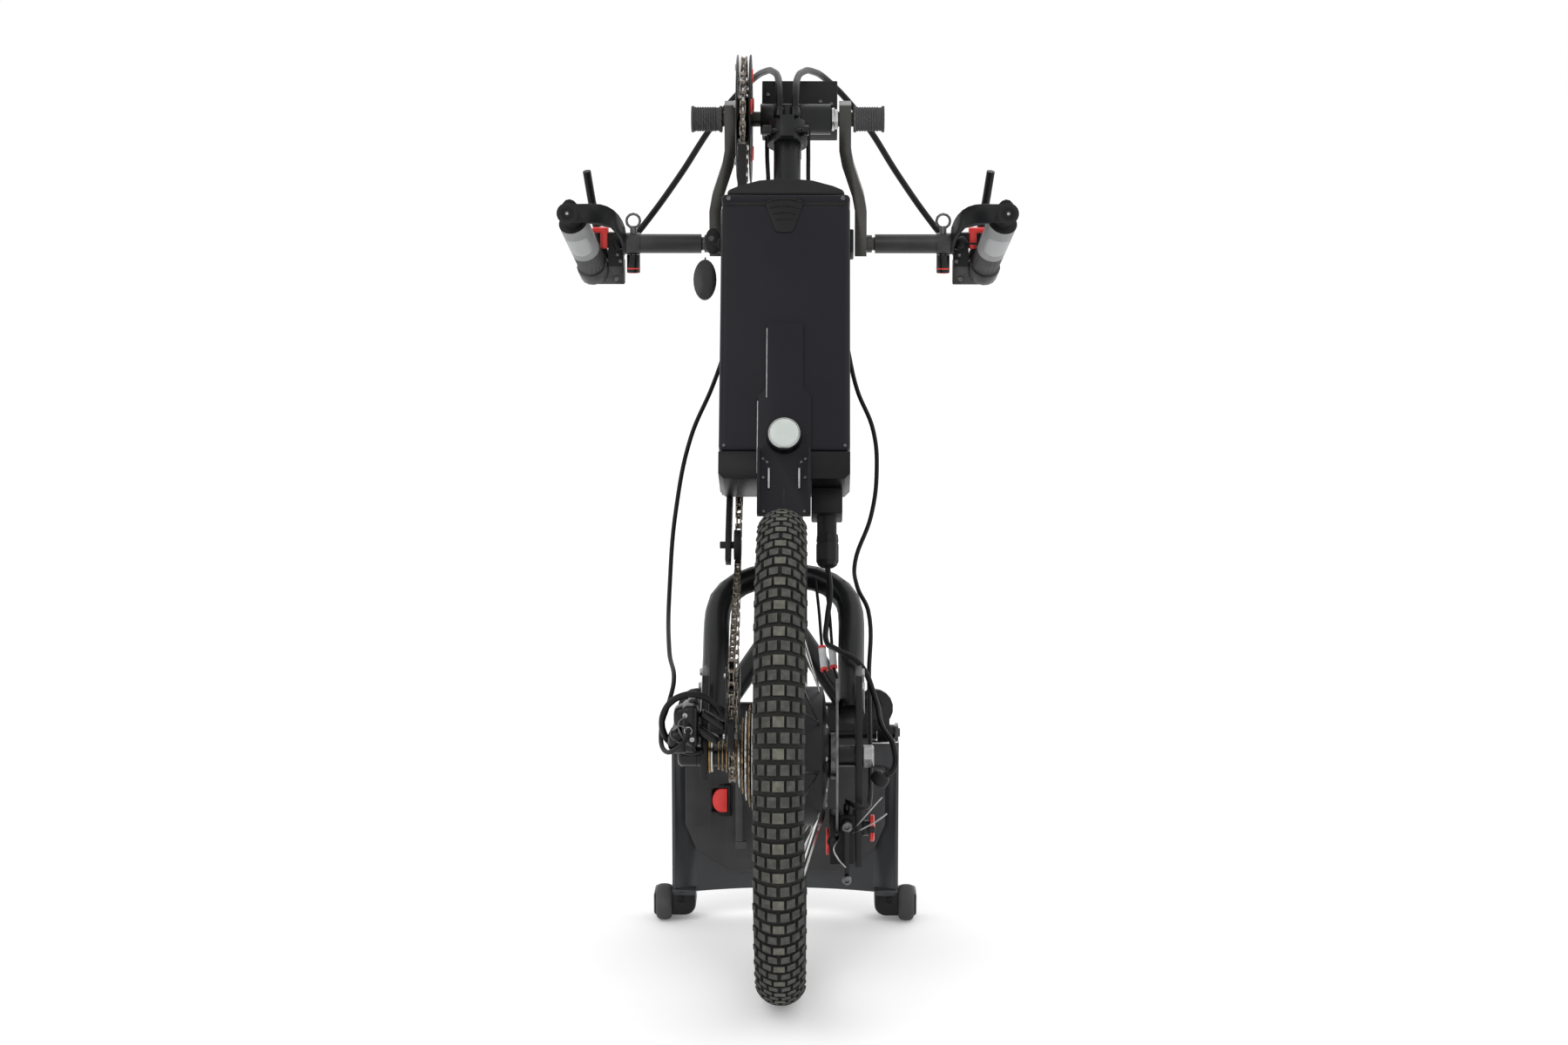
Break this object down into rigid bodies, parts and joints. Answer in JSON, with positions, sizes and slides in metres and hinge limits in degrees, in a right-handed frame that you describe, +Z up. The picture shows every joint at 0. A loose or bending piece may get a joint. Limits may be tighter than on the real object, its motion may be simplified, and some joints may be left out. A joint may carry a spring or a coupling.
{
  "type": "clip-on electric handcycle",
  "caption": "Clip-on electric handcycle: one tyred wheel under a raked column with hand crank, chain drive, battery, lamp, docking frame and folding stand with rollers.",
  "frame": {"origin": "on the floor under the middle of the bounding box", "axes": "+Z up, -Y the way it travels, +X the rider's left"},
  "size_m": [0.5392, 0.9575, 0.9713],
  "materials": {
    "paint": "satin black paint",
    "case": "satin blue-black shell",
    "steel": "bright steel",
    "bronze": "bronze and nickel plated steel",
    "arm": "dark bronze-grey anodised",
    "shell": "satin black",
    "tyre": "matt black rubber with a block tread",
    "rubber": "matt rubber",
    "grip": "soft grey rubber",
    "plastic": "matt black plastic",
    "red": "coral red plastic",
    "glass": "frosted lens"
  },
  "bodies": {
    "dock": {"dock_frame": "paint"},
    "stand": {"stand_shield": "paint", "stand_cover": "plastic"},
    "roller_left": {"stand_roller_left": "rubber"},
    "roller_right": {"stand_roller_right": "rubber"},
    "release": {"release_button": "red"},
    "column": {"fork_leg_right": "paint", "fork_leg_left": "paint", "hub_axle": "steel", "fork_crown": "paint", "column_tube": "paint", "battery_tray": "paint", "lamp_bracket": "paint", "lamp_lens": "glass", "crank_housing": "paint", "console_case": "plastic", "chain": "bronze", "derailleur": "plastic", "chain_guard": "plastic", "brake_caliper": "plastic", "controller_box": "plastic", "motor_cable": "rubber", "gear_cable": "rubber", "brake_cable": "rubber", "handle_cable_left": "rubber", "handle_cable_right": "rubber"},
    "console_key": {"console_button": "red"},
    "wheel": {"tyre": "tyre", "rim_and_spokes": "steel", "hub_motor_shell": "shell", "brake_rotor": "steel"},
    "cassette": {"cassette": "bronze"},
    "battery": {"battery_case": "case", "battery_cells": "plastic", "battery_cap": "plastic"},
    "key": {"battery_key": "steel"},
    "tag": {"key_tag": "plastic"},
    "crank": {"crank_axle": "steel", "crank_arm_left": "arm", "crank_arm_right": "arm", "axle_grip_left": "rubber", "axle_grip_right": "rubber", "chainring": "paint"},
    "front_idler": {"front_idler": "plastic"},
    "rear_idler": {"rear_idler": "plastic"},
    "tension_wheel": {"tension_wheel": "plastic"},
    "guide_wheel": {"guide_wheel": "plastic"},
    "caliper_arm": {"caliper_arm": "steel"},
    "handle_left": {"handle_sleeve_left": "shell", "handle_strap_left": "paint", "hand_grip_left": "grip"},
    "pin_left": {"pull_pin_left": "steel"},
    "lever_left": {"brake_lever_left": "paint"},
    "thumb_left": {"thumb_lever_left": "red"},
    "handle_right": {"handle_sleeve_right": "shell", "handle_strap_right": "paint", "hand_grip_right": "grip"},
    "pin_right": {"pull_pin_right": "steel"},
    "lever_right": {"brake_lever_right": "paint"},
    "thumb_right": {"thumb_lever_right": "red"}
  },
  "joints": [
    {"name": "stand_fold", "type": "hinge", "parent": "dock", "child": "stand", "pos_m": [0, 0.08065, 0.21], "axis": [1, 0, 0], "range_deg": [0, 75]},
    {"name": "roller_left_spin", "type": "hinge", "parent": "stand", "child": "roller_left", "pos_m": [-0.137, 0.04665, 0.0205], "axis": [1, 0, 0], "continuous": true},
    {"name": "roller_right_spin", "type": "hinge", "parent": "stand", "child": "roller_right", "pos_m": [0.137, 0.04665, 0.0205], "axis": [1, 0, 0], "continuous": true},
    {"name": "release_press", "type": "slide", "parent": "stand", "child": "release", "axis": [0, 1, 0], "range_m": [0, 0.003], "stiffness_N_per_m": 400, "springref_m": -0.001},
    {"name": "steering", "type": "hinge", "parent": "dock", "child": "column", "pos_m": [0, 0.01465, 0.402], "axis": [0, 0.4226, 0.9063], "range_deg": [-40, 40], "stiffness_Nm_per_rad": 9},
    {"name": "console_press", "type": "slide", "parent": "column", "child": "console_key", "axis": [0, -0.9063, 0.4226], "range_m": [0, 0.0015], "stiffness_N_per_m": 600, "springref_m": -0.001},
    {"name": "wheel_spin", "type": "hinge", "parent": "column", "child": "wheel", "pos_m": [0, -0.22335, 0.255], "axis": [1, 0, 0], "continuous": true},
    {"name": "crank_turn", "type": "hinge", "parent": "column", "child": "crank", "pos_m": [0, 0.29149, 0.89631], "axis": [1, 0, 0], "continuous": true, "deforming": ["handle_cable_left", "handle_cable_right"]},
    {"name": "cassette_spin", "type": "hinge", "parent": "column", "child": "cassette", "pos_m": [0, -0.22335, 0.255], "axis": [1, 0, 0], "continuous": true},
    {"name": "battery_lift", "type": "slide", "parent": "column", "child": "battery", "axis": [0, 0.4226, 0.9063], "range_m": [0, 0.03]},
    {"name": "key_turn", "type": "hinge", "parent": "battery", "child": "key", "pos_m": [-0.0718, 0.12927, 0.75901], "axis": [1, 0, 0], "range_deg": [0, 90]},
    {"name": "tag_hang", "type": "hinge", "parent": "key", "child": "tag", "pos_m": [-0.0908, 0.12225, 0.74396], "axis": [1, 0, 0], "range_deg": [-90, 0]},
    {"name": "handle_left_spin", "type": "hinge", "parent": "crank", "child": "handle_left", "pos_m": [0, 0.3196, 0.74897], "axis": [1, 0, 0], "continuous": true},
    {"name": "pin_left_pull", "type": "slide", "parent": "handle_left", "child": "pin_left", "axis": [0, 0, -1], "range_m": [0, 0.0035], "stiffness_N_per_m": 500, "springref_m": -0.001},
    {"name": "lever_left_squeeze", "type": "hinge", "parent": "handle_left", "child": "lever_left", "pos_m": [-0.21, 0.3719, 0.70697], "axis": [1, 0, 0], "range_deg": [0, 11], "stiffness_Nm_per_rad": 1.2, "springref_deg": -11.46},
    {"name": "thumb_left_push", "type": "hinge", "parent": "handle_left", "child": "thumb_left", "pos_m": [-0.219, 0.3436, 0.74897], "axis": [1, 0, 0], "range_deg": [0, 15], "stiffness_Nm_per_rad": 0.1, "springref_deg": -2.86},
    {"name": "handle_right_spin", "type": "hinge", "parent": "crank", "child": "handle_right", "pos_m": [0, 0.3196, 0.74897], "axis": [1, 0, 0], "continuous": true},
    {"name": "pin_right_pull", "type": "slide", "parent": "handle_right", "child": "pin_right", "axis": [0, 0, -1], "range_m": [0, 0.0035], "stiffness_N_per_m": 500, "springref_m": -0.001},
    {"name": "lever_right_squeeze", "type": "hinge", "parent": "handle_right", "child": "lever_right", "pos_m": [0.21, 0.3719, 0.70697], "axis": [1, 0, 0], "range_deg": [0, 11], "stiffness_Nm_per_rad": 1.2, "springref_deg": -11.46},
    {"name": "thumb_right_push", "type": "hinge", "parent": "handle_right", "child": "thumb_right", "pos_m": [0.219, 0.3436, 0.74897], "axis": [1, 0, 0], "range_deg": [0, 15], "stiffness_Nm_per_rad": 0.1, "springref_deg": -2.86},
    {"name": "front_idler_spin", "type": "hinge", "parent": "column", "child": "front_idler", "pos_m": [-0.051, -0.01937, 0.44214], "axis": [1, 0, 0], "continuous": true},
    {"name": "rear_idler_spin", "type": "hinge", "parent": "column", "child": "rear_idler", "pos_m": [-0.051, 0.0516, 0.4907], "axis": [1, 0, 0], "continuous": true},
    {"name": "tension_wheel_spin", "type": "hinge", "parent": "column", "child": "tension_wheel", "pos_m": [-0.051, -0.22835, 0.34], "axis": [1, 0, 0], "continuous": true},
    {"name": "guide_wheel_spin", "type": "hinge", "parent": "column", "child": "guide_wheel", "pos_m": [-0.051, -0.26335, 0.285], "axis": [1, 0, 0], "continuous": true},
    {"name": "caliper_arm_pull", "type": "hinge", "parent": "column", "child": "caliper_arm", "pos_m": [0.06725, -0.25465, 0.1909], "axis": [0, 1, 0], "range_deg": [0, 12]}
  ],
  "couplings": [
    {"joint": "handle_left_spin", "follows": "crank_turn", "ratio": -1},
    {"joint": "handle_right_spin", "follows": "crank_turn", "ratio": -1},
    {"joint": "cassette_spin", "follows": "crank_turn", "ratio": 2.8667},
    {"joint": "front_idler_spin", "follows": "crank_turn", "ratio": -3.2762},
    {"joint": "rear_idler_spin", "follows": "crank_turn", "ratio": 3.2762},
    {"joint": "tension_wheel_spin", "follows": "crank_turn", "ratio": 3.44},
    {"joint": "guide_wheel_spin", "follows": "crank_turn", "ratio": -3.44},
    {"joint": "tag_hang", "follows": "key_turn", "ratio": -1},
    {"joint": "caliper_arm_pull", "follows": "lever_right_squeeze", "ratio": 0.8571}
  ]
}
